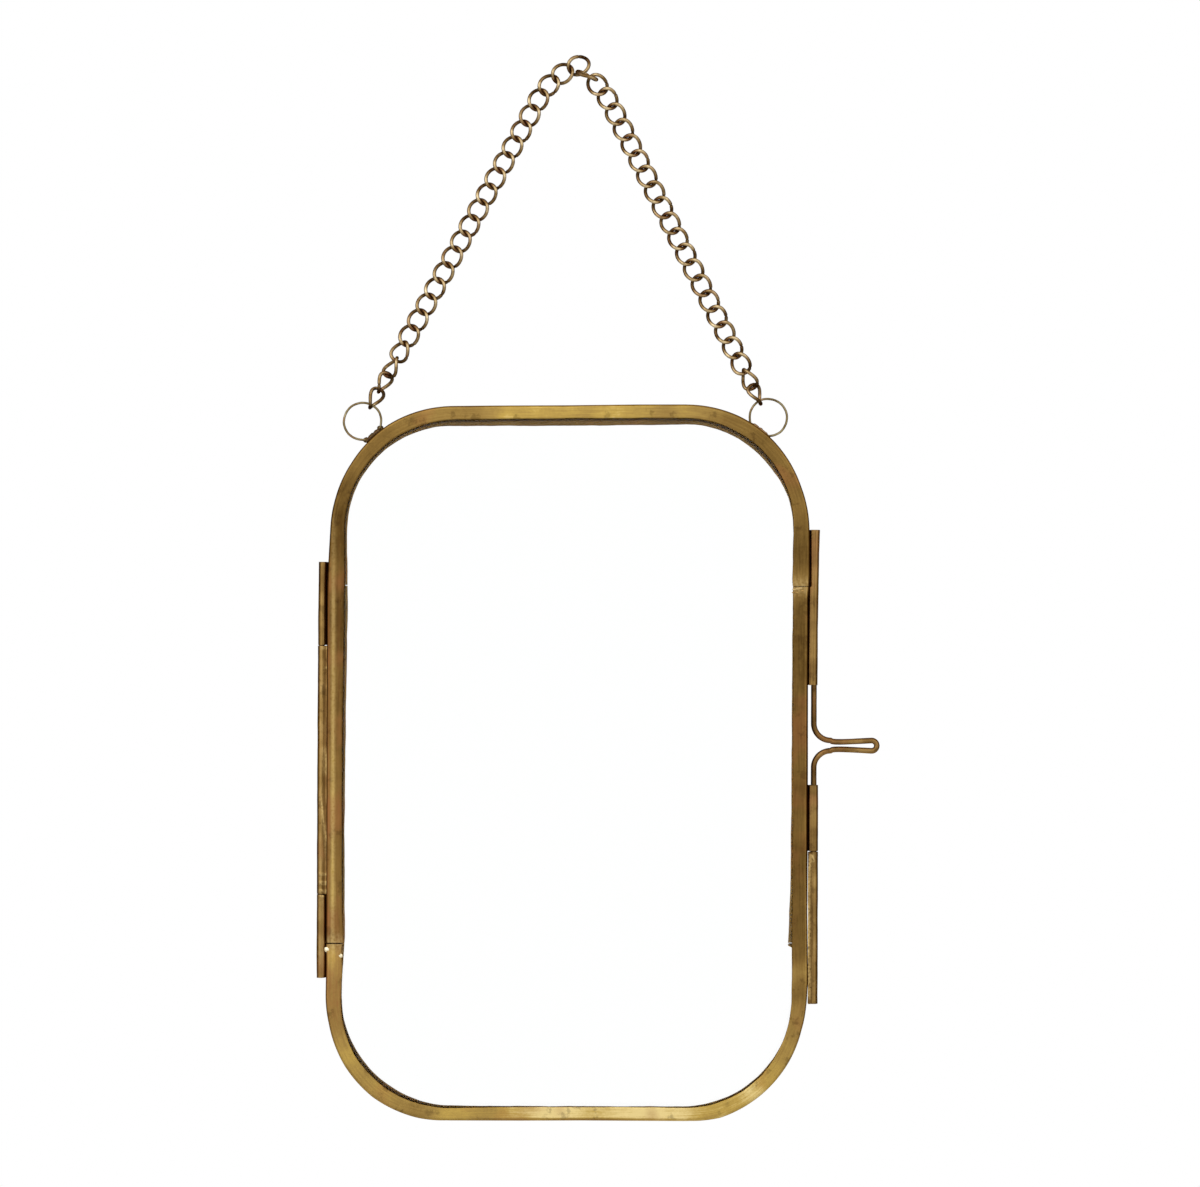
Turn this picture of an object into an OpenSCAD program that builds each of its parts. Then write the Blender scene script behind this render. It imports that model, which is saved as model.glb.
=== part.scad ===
// Hanging two-leaf glass frame for a photograph, in aged brass.
// Two channel frames, each holding a glass pane, fold shut on a hinge at the left and are locked
// by a hairpin rod at the right. Two rings on the top corners carry the frame on a curb chain.
// The origin is the point where a nail bears inside the top link. +X is right and +Y is away
// from the viewer, so the front leaf lies on the -Y side.

/* [Frame] */
// Overall width of a leaf
frame_w = 140; // [100:1:200]
// Overall height of a leaf
frame_h = 208; // [180:1:260]
// Outside radius of the corners
corner_r = 36.5; // [15:0.5:40]
// Width of the channel's faces, from the outside edge to the lips
rail_w = 4.5; // [3.5:0.1:8]
// Thickness of one leaf across its channel
leaf_t = 3.3; // [3:0.1:5]
// Thickness of the brass sheet
sheet_t = 0.5; // [0.4:0.05:0.6]
// Outside radius of the channel's two bends
bend_r = 0.8; // [0.65:0.05:1]
// Gap between the two leaves when shut
leaf_gap = 0.4; // [0.2:0.05:1]
// Drop from the top edge to the higher joint between two channel pieces
seam_high_drop = 52.7; // [42:0.1:70]
// Drop from the top edge to the lower joint between two channel pieces
seam_low_drop = 156.7; // [100:0.1:170]
// Solder gap between two channel pieces
seam_gap = 0.1; // [0.05:0.01:0.3]

/* [Glass] */
// Thickness of a pane
glass_t = 2; // [1.6:0.1:2.2]
// Gap between a pane's edge and the bottom of its channel
glass_edge_gap = 0.35; // [0.2:0.05:1]

/* [Hinge] */
// Outside diameter of the hinge and latch tubes
tube_d = 2.7; // [2.4:0.1:3]
// Diameter of the hinge pin and of the latch rod
rod_d = 1.7; // [1.3:0.05:1.8]
// Running clearance around a rod in its tube, on the radius
rod_clear = 0.08; // [0.03:0.01:0.1]
// Gap between a tube and the side of the frame, bridged by solder
tube_side_gap = 0.3; // [0.2:0.05:0.6]
// Drop from the top edge to the top of the hinge
hinge_drop = 46; // [40:0.5:60]
// Length of each end knuckle
knuckle_end_len = 24; // [12:0.5:24]
// Length of the middle knuckle
knuckle_mid_len = 72; // [40:0.5:72]
// Gap between two knuckles or tubes on one axis
knuckle_gap = 0.4; // [0.2:0.05:1]
// Height of the solder on the side of the frame
solder_leg = 1.2; // [0.6:0.1:1.3]
// Bare length of tube at each end of its solder
solder_inset = 1.5; // [0.5:0.1:4]

/* [Latch] */
// Drop from the top edge to the top of the upper guide tube
latch_drop = 36.3; // [34:0.1:45]
// Length of the upper guide tube
guide_upper_len = 45; // [35:0.5:48]
// Open length between the two guide tubes, where the hairpin stands out
latch_window = 29.3; // [28:0.1:34]
// Length of the lower guide tube
guide_lower_len = 19; // [12:0.5:20]
// Length of the keeper tube on the front leaf
keeper_len = 44; // [20:0.5:44]
// Reach of the hairpin's nose from the rod's axis
loop_reach = 19.2; // [14:0.1:30]
// Distance between the hairpin's two runs, centre to centre
loop_pitch = 3; // [2.3:0.1:3.4]
// Radius of the hairpin's bends, to the centre of the rod
loop_bend_r = 4.9; // [4:0.1:6]
// Drop from the upper guide's lower end to the hairpin's upper run
loop_drop = 16.2; // [15.5:0.1:17]
// Length of rod inside the upper guide tube
guide_hold = 22; // [14:0.5:24]
// Length of rod inside the keeper tube when locked
keeper_hold = 7; // [4:0.5:9]

/* [Rings] */
// Outside diameter of a hanging ring
ring_d = 11.66; // [10:0.1:14]
// Diameter of a ring's wire
ring_wire_d = 0.66; // [0.5:0.05:1]
// Distance from the frame's outside edge to a ring's centre
ring_stand = 4.7; // [3:0.1:4.7]
// Place of the left ring round its corner, from the level, in degrees
left_ring_place = 50; // [45:0.1:58]
// Place of the right ring round its corner, from the level, in degrees
right_ring_place = 53.2; // [45:0.1:58]
// Place where the chain hooks round a ring, from the level, in degrees
hook_place = 62; // [60:0.5:65]
// Distance from the shut leaves' middle plane back to the chain's plane
ring_set_back = 0.6; // [0.6:0.05:0.8]
// Diameter of the solder foot at each end of a ring
ring_foot_d = 1.6; // [1.2:0.1:2]

/* [Chain] */
// Outside length of a link
link_len = 7.2; // [6.9:0.02:7.6]
// Outside width of a link
link_w = 6.24; // [6:0.02:6.6]
// Diameter of the link wire
link_wire_d = 0.92; // [0.7:0.02:0.95]
// How far a link's wire swings out of its plane
link_twist = 0.85; // [0.8:0.01:0.95]
// Least gap between the ends of two hooked links
link_gap = 0.1; // [0.06:0.01:0.2]
// Gap between an end link and its ring
ring_link_gap = 0.3; // [0.2:0.01:0.4]
// Drop from the hanging point to the top edge of the frame
hang_drop = 101.2; // [90:0.1:130]
// Distance from the frame's middle to the hanging point, to the right
hang_offset = 3; // [0:0.1:6]
// Radius of the chain's bend on the left of the top link
left_drape_r = 22; // [16:0.5:30]
// Radius of the chain's bend on the right of the side link
right_drape_r = 26; // [16:0.5:34]

/* [Hidden] */
$fn = 48;

// Overrun of a cutting shape past what it cuts
over = leaf_t;

// Frame: the leaves' middle planes, and the middle of the frame
frame_x = -hang_offset;
frame_z = -hang_drop - frame_h / 2;
top_z = -hang_drop;
parting_y = -ring_set_back;
leaf_shift = (leaf_gap + leaf_t) / 2;

// Tubes and rods
tube_r = tube_d / 2;
bore_r = rod_d / 2 + rod_clear;
wall_mid_r = (tube_r + bore_r) / 2;
tube_offset = tube_r + tube_side_gap;
web_flat_y = leaf_gap / 2 + bend_r;

// Turn round a tube, from the level, at which the lower edge of its solder starts, in degrees
solder_turn = 30;

// Heights of the hinge and of the latch
hinge_top_z = top_z - hinge_drop;
hinge_mid_z = hinge_top_z - knuckle_end_len - knuckle_gap;
hinge_lower_z = hinge_mid_z - knuckle_mid_len - knuckle_gap;
hinge_end_z = hinge_lower_z - knuckle_end_len;
guide_top_z = top_z - latch_drop;
window_top_z = guide_top_z - guide_upper_len;
guide_lower_z = window_top_z - latch_window;
keeper_top_z = guide_lower_z - guide_lower_len - knuckle_gap;

// Hairpin: its two runs and its nose
upper_run_z = window_top_z - loop_drop;
lower_run_z = upper_run_z - loop_pitch;
nose_r = loop_pitch / 2;
nose_x = loop_reach - rod_d / 2 - nose_r;

// Rings: centre from the corner's centre, and where the wire meets the corner
ring_r = (ring_d - ring_wire_d) / 2;
corner_x = frame_w / 2 - corner_r;
corner_z = top_z - corner_r;
ring_dist = corner_r + ring_stand;
foot_turn = acos((ring_dist * ring_dist + ring_r * ring_r - corner_r * corner_r)
    / (2 * ring_dist * ring_r));
foot_y = parting_y + web_flat_y;
function ring_place(side) = side < 0 ? left_ring_place : right_ring_place;
function ring_x(side) = frame_x + side * (corner_x + ring_dist * cos(ring_place(side)));
function ring_z(side) = corner_z + ring_dist * sin(ring_place(side));

// Links: centre line, and the mesh of its wire
link_a = (link_len - link_wire_d) / 2;
link_b = (link_w - link_wire_d) / 2;
link_pitch_most = 2 * link_a - link_wire_d - link_gap;
link_reach = link_a - (link_wire_d + ring_wire_d) / 2 - ring_link_gap;
WIRE_RINGS = 24;
WIRE_SIDES = 6;

// Turn of the links about the chain, in degrees: up from each ring, and down from the side link
left_end_turns = [120, 118, 55, 28];
right_end_turns = [120, 52, 16];
right_start_turns = [5];
top_link_tilt = 20;
side_link_tilt = -22;
side_link_turn = -70;
right_start_tilt = -48;

// Places of the side link and of the first right link from the top link, as shares of a link
side_link_share = [0.333, -0.417];
right_start_share = [0.760, -0.785];

// The nail bears on the inside of the top link's highest point
top_link_rise = sqrt(pow(link_a * sin(top_link_tilt), 2) + pow(link_b * cos(top_link_tilt), 2));
top_link_lean = (link_a * link_a - link_b * link_b) * sin(top_link_tilt) * cos(top_link_tilt)
    / top_link_rise;
top_link_at = [-top_link_lean, link_wire_d / 2 - top_link_rise];
side_link_at = top_link_at + side_link_share * link_len;
right_start_at = top_link_at + right_start_share * link_len;

function along(a) = [cos(a), sin(a)];

// Where the last link of an arm sits: side is -1 on the left and 1 on the right
function end_link_at(side) = [
    ring_x(side) - side * (ring_r + link_reach) * cos(hook_place),
    ring_z(side) + (ring_r + link_reach) * sin(hook_place)
];

// An arm leaves its start along a bend of radius r and runs straight from there to its end.
// way is 1 for a bend to the left as the chain runs down, and -1 for one to the right.
function bend_centre(start, tilt, way, r) = start + way * r * [-sin(tilt), cos(tilt)];
function bend_sweep(start, tilt, way, r, end) =
    let (
        v = end - bend_centre(start, tilt, way, r),
        leave = atan2(v[1], v[0]) - way * acos(r / norm(v)),
        turn = way * (leave - (tilt - way * 90))
    ) turn - 360 * floor(turn / 360);
function bend_len(start, tilt, way, r, end) = r * bend_sweep(start, tilt, way, r, end) * PI / 180;
function arm_len(start, tilt, way, r, end) =
    let (d = norm(end - bend_centre(start, tilt, way, r)))
    bend_len(start, tilt, way, r, end) + sqrt(d * d - r * r);
function arm_tilt(start, tilt, way, r, end, s) =
    tilt + way * min(s / r * 180 / PI, bend_sweep(start, tilt, way, r, end));
function arm_at(start, tilt, way, r, end, s) =
    let (
        a = arm_tilt(start, tilt, way, r, end, s),
        spare = max(s - bend_len(start, tilt, way, r, end), 0)
    ) bend_centre(start, tilt, way, r) + way * r * [sin(a), -cos(a)] + spare * along(a);

// Each link of the chain as [x, z, tilt of its length, turn about its length]
left_end_at = end_link_at(-1);
left_tilt = 180 + top_link_tilt;
left_len = arm_len(top_link_at, left_tilt, 1, left_drape_r, left_end_at);
left_count = ceil(left_len / link_pitch_most);
left_links = [
    for (i = [1 : left_count])
        let (
            s = left_len * i / left_count,
            p = arm_at(top_link_at, left_tilt, 1, left_drape_r, left_end_at, s),
            k = left_count - i
        ) [
            p[0], p[1], arm_tilt(top_link_at, left_tilt, 1, left_drape_r, left_end_at, s),
            k < len(left_end_turns) ? left_end_turns[k] : 0
        ]
];
right_end_at = end_link_at(1);
right_len = arm_len(right_start_at, right_start_tilt, -1, right_drape_r, right_end_at);
right_count = ceil(right_len / link_pitch_most);
right_links = [
    for (i = [0 : right_count])
        let (
            s = right_len * i / right_count,
            p = arm_at(right_start_at, right_start_tilt, -1, right_drape_r, right_end_at, s),
            k = right_count - i
        ) [
            p[0], p[1],
            arm_tilt(right_start_at, right_start_tilt, -1, right_drape_r, right_end_at, s),
            k < len(right_end_turns) ? right_end_turns[k]
                : i < len(right_start_turns) ? right_start_turns[i] : 0
        ]
];

function slice(list, first, last) = [for (i = [first : last]) list[i]];
function unit(v) = v / norm(v);

// One leaf's channel, seen on its cut end: x runs inwards from the outside edge, y across the leaf
module bent_plate(start, w, t, r) {
    translate([start + r, -t / 2]) square([w - r, t]);
    translate([start, -t / 2 + r]) square([w, t - 2 * r]);
    for (side = [-1, 1])
        translate([start + r, side * (t / 2 - r)]) circle(r = r);
}

module channel_section() {
    difference() {
        bent_plate(0, rail_w, leaf_t, bend_r);
        bent_plate(sheet_t, rail_w, leaf_t - 2 * sheet_t, bend_r - sheet_t);
    }
}

module channel_rail(length) {
    rotate([90, 0, 0]) linear_extrude(height = length, center = true) channel_section();
}

module channel_corner() {
    rotate_extrude(angle = 90) translate([corner_r, 0]) mirror([1, 0]) channel_section();
}

// The whole channel ring of a leaf, flat in the XY plane with its middle at the origin
module channel_ring() {
    for (half = [0, 180]) rotate(half) {
        translate([-frame_w / 2, 0]) channel_rail(frame_h - 2 * corner_r);
        rotate(-90) translate([-frame_h / 2, 0]) channel_rail(frame_w - 2 * corner_r);
        translate([frame_w / 2 - corner_r, frame_h / 2 - corner_r]) channel_corner();
        translate([corner_r - frame_w / 2, frame_h / 2 - corner_r]) rotate(90) channel_corner();
    }
}

// The part of a leaf below its two joints: the right one is the higher
module below_joints(shift) {
    translate([-frame_w / 2 - over, -frame_h / 2 - over, -over])
        cube([frame_w + 2 * over, frame_h - seam_low_drop + over + shift, 2 * over]);
    translate([0, -frame_h / 2 - over, -over])
        cube([frame_w / 2 + over, frame_h - seam_high_drop + over + shift, 2 * over]);
}

module channel_upper() {
    difference() {
        channel_ring();
        below_joints(seam_gap / 2);
    }
}

module channel_lower() {
    intersection() {
        channel_ring();
        below_joints(-seam_gap / 2);
    }
}

// Stands a flat leaf up at its place: layer is -1 for the front leaf and 1 for the back one,
// which is the same leaf turned to face the other way
module stand_leaf(layer) {
    translate([frame_x, parting_y + layer * leaf_shift, frame_z]) rotate([90, 0, 0])
        if (layer < 0) children();
        else mirror([1, 0, 0]) children();
}

module pane() {
    inset = sheet_t + glass_edge_gap;
    w = frame_w - 2 * inset;
    h = frame_h - 2 * inset;
    r = corner_r - inset;
    linear_extrude(height = glass_t, center = true) {
        square([w - 2 * r, h], center = true);
        square([w, h - 2 * r], center = true);
        for (sx = [-1, 1], sy = [-1, 1])
            translate([sx * (w / 2 - r), sy * (h / 2 - r)]) circle(r = r);
    }
}

// A tube beside the frame with the solder that holds it: side is -1 at the left edge and 1 at the
// right one, and layer is -1 when it is soldered to the front leaf and 1 to the back one
module soldered_tube(side, layer, high_z, length) {
    translate([frame_x + side * (frame_w / 2 + tube_offset), parting_y, high_z - length])
        difference() {
            union() {
                cylinder(r = tube_r, h = length);
                translate([0, 0, solder_inset])
                    linear_extrude(height = length - 2 * solder_inset)
                    polygon([
                        [0, layer * wall_mid_r],
                        [-side * tube_offset, layer * (web_flat_y + solder_leg)],
                        [-side * tube_offset, layer * web_flat_y],
                        wall_mid_r * [-side * cos(solder_turn), layer * sin(solder_turn)]
                    ]);
            }
            translate([0, 0, -over]) cylinder(r = bore_r, h = length + 2 * over);
        }
}

module front_channel_upper() { color("darkgoldenrod") stand_leaf(-1) channel_upper(); }
module front_channel_lower() { color("darkgoldenrod") stand_leaf(-1) channel_lower(); }
module front_glass() { color("lightcyan", 0.35) stand_leaf(-1) pane(); }
module back_channel_upper() { color("goldenrod") stand_leaf(1) channel_upper(); }
module back_channel_lower() { color("goldenrod") stand_leaf(1) channel_lower(); }
module back_glass() { color("lightcyan", 0.35) stand_leaf(1) pane(); }

module front_hinge_knuckle() {
    color("peru") soldered_tube(-1, -1, hinge_mid_z, knuckle_mid_len);
}

module latch_keeper_tube() {
    color("peru") soldered_tube(1, -1, keeper_top_z, keeper_len);
}

module hinge_knuckle_upper() {
    color("sienna") soldered_tube(-1, 1, hinge_top_z, knuckle_end_len);
}

module hinge_knuckle_lower() {
    color("sienna") soldered_tube(-1, 1, hinge_lower_z, knuckle_end_len);
}

module latch_guide_upper() {
    color("sienna") soldered_tube(1, 1, guide_top_z, guide_upper_len);
}

module latch_guide_lower() {
    color("sienna") soldered_tube(1, 1, guide_lower_z, guide_lower_len);
}

// The pin runs through all three knuckles, flush with the hinge's ends
module hinge_pin() {
    color("saddlebrown")
        translate([frame_x - frame_w / 2 - tube_offset, parting_y, hinge_end_z])
        cylinder(d = rod_d, h = hinge_top_z - hinge_end_z);
}

// A bend of the rod in the XY plane, from one angle and on by a sweep
module rod_bend(r, from, sweep) {
    rotate(from) rotate_extrude(angle = sweep) translate([r, 0]) circle(d = rod_d);
}

// A straight of the rod from a point along +X or +Y
module rod_run(x, y, length) {
    translate([x, y]) rotate([0, 90, 0]) cylinder(d = rod_d, h = length);
}

module rod_leg(low, high) {
    translate([0, high]) rotate([90, 0, 0]) cylinder(d = rod_d, h = high - low);
}

module latch_hairpin() {
    color("gold")
        translate([frame_x + frame_w / 2 + tube_offset, parting_y]) rotate([90, 0, 0]) {
            rod_leg(upper_run_z + loop_bend_r, window_top_z + guide_hold);
            translate([loop_bend_r, upper_run_z + loop_bend_r]) rod_bend(loop_bend_r, 180, 90);
            rod_run(loop_bend_r, upper_run_z, nose_x - loop_bend_r);
            translate([nose_x, upper_run_z - nose_r]) rod_bend(nose_r, -90, 180);
            rod_run(loop_bend_r, lower_run_z, nose_x - loop_bend_r);
            translate([loop_bend_r, lower_run_z - loop_bend_r]) rod_bend(loop_bend_r, 90, 90);
            rod_leg(keeper_top_z - keeper_hold, lower_run_z - loop_bend_r);
        }
}

// A ring of wire cut to sit on the rounded corner, with a solder foot at each end
module hanging_ring(side) {
    corner_at = [frame_x + side * corner_x, 0, corner_z];
    ring_at = [ring_x(side), 0, ring_z(side)];
    inward = side > 0 ? 180 + ring_place(side) : -ring_place(side);
    difference() {
        translate(ring_at) {
            rotate([90, 0, 0]) rotate_extrude() translate([ring_r, 0]) circle(d = ring_wire_d);
            for (end = [-1, 1]) {
                foot = ring_r * along(inward + end * foot_turn);
                translate([foot[0], foot_y, foot[1]]) sphere(d = ring_foot_d);
            }
        }
        translate(corner_at) rotate([90, 0, 0])
            cylinder(r = corner_r, h = 2 * over, center = true, $fn = 96);
    }
}

module left_hanging_ring() { color("tan") hanging_ring(-1); }
module right_hanging_ring() { color("tan") hanging_ring(1); }

// The centre line of a link runs round an oval and sways out of its plane twice each way
function link_point(q) = [link_a * cos(q), link_b * sin(q), -link_twist * sin(2 * q)];
function link_way(q) = unit([-link_a * sin(q), link_b * cos(q), -2 * link_twist * cos(2 * q)]);
function link_out(q) =
    let (w = link_way(q), o = [cos(q), sin(q), 0]) unit(o - w * (o * w));
function wire_point(q, f) =
    link_point(q) + link_wire_d / 2 * (cos(f) * link_out(q) + sin(f) * cross(link_way(q), link_out(q)));

// A link's own axes in the part: its length lies in the chain's plane, and it turns about it
function link_place(l, p) =
    let (
        length_way = [cos(l[2]), 0, sin(l[2])],
        level_way = [-sin(l[2]), 0, cos(l[2])],
        front_way = [0, -1, 0],
        side_way = level_way * cos(l[3]) + front_way * sin(l[3]),
        face_way = front_way * cos(l[3]) - level_way * sin(l[3])
    ) [l[0], 0, l[1]] + p[0] * length_way + p[1] * side_way + p[2] * face_way;

module curb_link(l) {
    points = [
        for (i = [0 : WIRE_RINGS - 1], j = [0 : WIRE_SIDES - 1])
            link_place(l, wire_point(i * 360 / WIRE_RINGS, j * 360 / WIRE_SIDES))
    ];
    faces = [
        for (i = [0 : WIRE_RINGS - 1], j = [0 : WIRE_SIDES - 1])
            let (
                here = i * WIRE_SIDES,
                next = (i + 1) % WIRE_RINGS * WIRE_SIDES,
                k = (j + 1) % WIRE_SIDES
            )
            each [[here + j, next + k, here + k], [here + j, next + j, next + k]]
    ];
    polyhedron(points, faces);
}

module link_row(list) {
    color("darkkhaki") for (l = list) curb_link(l);
}

module chain_top_link() { link_row([[top_link_at[0], top_link_at[1], top_link_tilt, 0]]); }

module chain_side_link() {
    link_row([[side_link_at[0], side_link_at[1], side_link_tilt, side_link_turn]]);
}

module chain_links_left() {
    link_row(slice(left_links, 0, left_count - 1 - len(left_end_turns)));
}

module chain_turned_links_left() {
    link_row(slice(left_links, left_count - len(left_end_turns), left_count - 2));
}

module chain_end_link_left() { link_row([left_links[left_count - 1]]); }
module chain_links_right() { link_row(slice(right_links, 0, right_count - 2)); }
module chain_turned_link_right() { link_row([right_links[right_count - 1]]); }
module chain_end_link_right() { link_row([right_links[right_count]]); }

front_channel_upper();
front_channel_lower();
front_glass();
front_hinge_knuckle();
latch_keeper_tube();
back_channel_upper();
back_channel_lower();
back_glass();
hinge_knuckle_upper();
hinge_knuckle_lower();
hinge_pin();
latch_guide_upper();
latch_guide_lower();
latch_hairpin();
left_hanging_ring();
right_hanging_ring();
chain_top_link();
chain_side_link();
chain_links_left();
chain_turned_links_left();
chain_end_link_left();
chain_links_right();
chain_turned_link_right();
chain_end_link_right();
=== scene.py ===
import bpy
import numpy as np
from mathutils import Matrix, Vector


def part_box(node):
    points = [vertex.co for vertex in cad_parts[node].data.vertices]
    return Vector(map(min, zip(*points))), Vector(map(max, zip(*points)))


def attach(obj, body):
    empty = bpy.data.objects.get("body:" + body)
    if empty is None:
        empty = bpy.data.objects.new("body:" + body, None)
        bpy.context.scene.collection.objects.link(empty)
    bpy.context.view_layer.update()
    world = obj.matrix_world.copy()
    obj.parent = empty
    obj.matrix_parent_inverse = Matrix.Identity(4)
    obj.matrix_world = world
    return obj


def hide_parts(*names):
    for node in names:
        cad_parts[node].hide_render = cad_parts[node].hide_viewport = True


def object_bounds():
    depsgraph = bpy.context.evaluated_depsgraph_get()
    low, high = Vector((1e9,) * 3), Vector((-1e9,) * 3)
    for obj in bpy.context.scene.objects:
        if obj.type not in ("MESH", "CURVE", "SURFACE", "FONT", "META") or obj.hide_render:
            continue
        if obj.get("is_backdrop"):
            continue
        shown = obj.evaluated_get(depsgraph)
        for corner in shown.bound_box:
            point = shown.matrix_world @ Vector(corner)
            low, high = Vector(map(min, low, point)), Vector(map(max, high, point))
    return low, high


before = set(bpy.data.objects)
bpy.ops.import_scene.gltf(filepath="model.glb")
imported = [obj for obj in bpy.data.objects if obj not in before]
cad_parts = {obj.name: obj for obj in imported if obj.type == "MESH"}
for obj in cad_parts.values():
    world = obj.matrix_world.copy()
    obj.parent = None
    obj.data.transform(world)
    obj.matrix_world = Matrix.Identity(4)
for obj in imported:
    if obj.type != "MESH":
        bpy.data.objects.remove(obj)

cad_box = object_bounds()
mm = 0.001

# The view
# The photograph looks square on at the frame from 0.9 m away, with the eye level with the frame's
# upper part and a little to the right of its middle.
PHOTO_W = 1200
FOCAL_PX = 3089
SENSOR_W = 36
NEAR_CLIP = 50 * mm
eye = np.array([6.3, -900, -156.1]) * mm
eye_roll = np.radians(0.15)


def add_object(name, data):
    """A new object in the scene."""
    made = bpy.data.objects.new(name, data)
    bpy.context.scene.collection.objects.link(made)
    return made


def in_plane(turn):
    """Unit vectors in the frame's own plane, turned from +X towards +Z."""
    return np.stack([np.cos(turn), 0 * turn, np.sin(turn)], -1)


def aim(thing, right, up, away, at):
    """Places a camera or a lamp, which looks against away."""
    placed = np.eye(4)
    placed[:3] = np.stack([right, up, away, at], 1)
    thing.matrix_world = Matrix(placed.tolist())


def add_camera():
    """The camera looks straight along +Y and rolls a little about that line."""
    camera = add_object("camera", bpy.data.cameras.new("camera"))
    bpy.context.scene.camera = camera
    camera.data.sensor_width = SENSOR_W
    camera.data.lens = FOCAL_PX / PHOTO_W * SENSOR_W
    camera.data.clip_start = NEAR_CLIP
    aim(camera, in_plane(eye_roll), in_plane(eye_roll + np.pi / 2), [0, -1, 0], eye)


add_camera()

# The four channel pieces
# Each leaf is thin brass sheet folded into a channel, bent by hand round four large corners and soldered
# from an upper and a lower piece. The faces are filed and streaked, with a painted reflection that makes
# them bright above and below and dark at the sides, and the two edges that grip the glass are cut uneven.
SHEET_T = 0.5 * mm
RAIL_W = 4.5 * mm
BEND_R = 0.8 * mm
CORNER_R = 36.5 * mm
LIP_ROUND = 0.12 * mm
HIGH_JOINT_DROP = 52.7 * mm
LOW_JOINT_DROP = 156.7 * mm
STATION = 0.5 * mm


def corners(node):
    """The low and the high corner of a solid's box."""
    return [np.array(corner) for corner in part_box(node)]


front_low = corners("front_channel_lower")[0]
front_high = corners("front_channel_upper")[1]
back_low = corners("back_channel_lower")[0]
back_high = corners("back_channel_upper")[1]
# By layer: -1 is the front leaf and 1 the back leaf
leaf_middle = {-1: (front_low + front_high) / 2, 1: (back_low + back_high) / 2}
leaf_w, leaf_t, leaf_h = front_high - front_low
top_run = leaf_w - 2 * CORNER_R
side_run = leaf_h - 2 * CORNER_R
corner_run = np.pi / 2 * CORNER_R
leaf_round = 2 * (top_run + side_run) + 4 * corner_run
high_joint = top_run / 2 + corner_run + HIGH_JOINT_DROP - CORNER_R
low_joint = leaf_round - top_run / 2 - corner_run - (LOW_JOINT_DROP - CORNER_R)


def wander(place, period, seed):
    """Hand-made unevenness of about one along a line: five sine waves, each shorter and lower than
    the last, whose phases are drawn from the seed."""
    order = np.arange(5)
    phases = np.random.default_rng(seed).uniform(0, 2 * np.pi, order.size)
    waves = np.sin(2 * np.pi * np.asarray(place)[..., None] * 1.7 ** order / period + phases)
    return (waves * 0.62 ** order).sum(-1) / 1.6


def shell(grid, rows_close=False, ends="open", along=None, around=None, **marks):
    """A closed skin on a grid of rows by columns of points. Columns close into a ring. Rows close
    too, or each end is shut by one flat face, or by faces across the wall that join each column to
    its mirror column. along and around give the UV of the rows and columns."""
    rows, cols = grid.shape[:2]
    index = np.arange(rows * cols).reshape(rows, cols)
    lower = index if rows_close else index[:-1]
    upper = np.roll(index, -1, 0) if rows_close else index[1:]
    quads = np.stack([lower, np.roll(lower, -1, 1), np.roll(upper, -1, 1), upper], -1).reshape(-1, 4)
    u = np.arange(len(lower) + 1) * mm if along is None else along
    v = np.arange(cols + 1) * mm if around is None else around
    u0, v0 = np.meshgrid(u[:-1], v[:-1], indexing="ij")
    u1, v1 = np.meshgrid(u[1:], v[1:], indexing="ij")
    uv = np.stack([u0, v0, u0, v1, u1, v1, u1, v0], -1).reshape(-1, 4, 2)
    if ends == "wall":
        for ring, flip in ((index[0], 1), (index[-1], -1)):
            near, far = ring[: cols // 2], ring[::-1][: cols // 2]
            wall = np.stack([near[:-1], far[:-1], far[1:], near[1:]], -1)[:, ::flip]
            quads = np.concatenate([quads, wall])
            uv = np.concatenate([uv, np.zeros((len(wall), 4, 2))])
    plates = [index[0][::-1], index[-1]] if ends == "flat" else []
    points = grid.reshape(-1, 3)
    a, b, c, d = (points[quads[:, k]] - points.mean(0) for k in range(4))
    if (np.cross(b, c) * a).sum() + (np.cross(c, d) * a).sum() < 0:
        quads, uv = quads[:, ::-1], uv[:, ::-1]
        plates = [plate[::-1] for plate in plates]
    marks = {name: np.broadcast_to(value, (rows, cols)).ravel() for name, value in marks.items()}
    return {"points": points, "quads": quads, "uv": uv, "plates": plates, "marks": marks}


MARKS = ("tone", "grime", "solder", "copper")


def build(name, shells, material, sharp=40):
    """One object from shells, with each mark as an attribute of its points. Edges that turn by more
    than the sharp angle, in degrees, stay crisp."""
    starts = np.cumsum([0] + [len(skin["points"]) for skin in shells])
    faces, uv = [], []
    for skin, start in zip(shells, starts):
        faces += (skin["quads"] + start).tolist() + [(plate + start).tolist() for plate in skin["plates"]]
        uv += [skin["uv"].reshape(-1, 2), np.zeros((sum(map(len, skin["plates"])), 2))]
    mesh = bpy.data.meshes.new(name)
    mesh.from_pydata(np.concatenate([skin["points"] for skin in shells]), [], faces)
    mesh.uv_layers.new(name="run").data.foreach_set("uv", np.concatenate(uv).ravel())
    for mark in MARKS:
        values = np.concatenate([skin["marks"].get(mark, np.zeros(len(skin["points"]))) for skin in shells])
        mesh.attributes.new(mark, "FLOAT", "POINT").data.foreach_set("value", values)
    mesh.polygons.foreach_set("use_smooth", np.ones(len(faces), bool))
    mesh.set_sharp_from_angle(angle=np.radians(sharp))
    mesh.materials.append(material)
    return add_object(name, mesh)


def place(piece, body, node, slot):
    """The piece moves with its body and stands for its solid, which is hidden. The slot is not used."""
    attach(piece, body)
    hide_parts(node)


def paint(red, green, blue):
    """A colour as it is seen, 0 to 255, turned into the light that a shader works in."""
    share = np.array([red, green, blue]) / 255
    return (*np.where(share > 0.04045, ((share + 0.055) / 1.055) ** 2.4, share / 12.92), 1)


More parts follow.
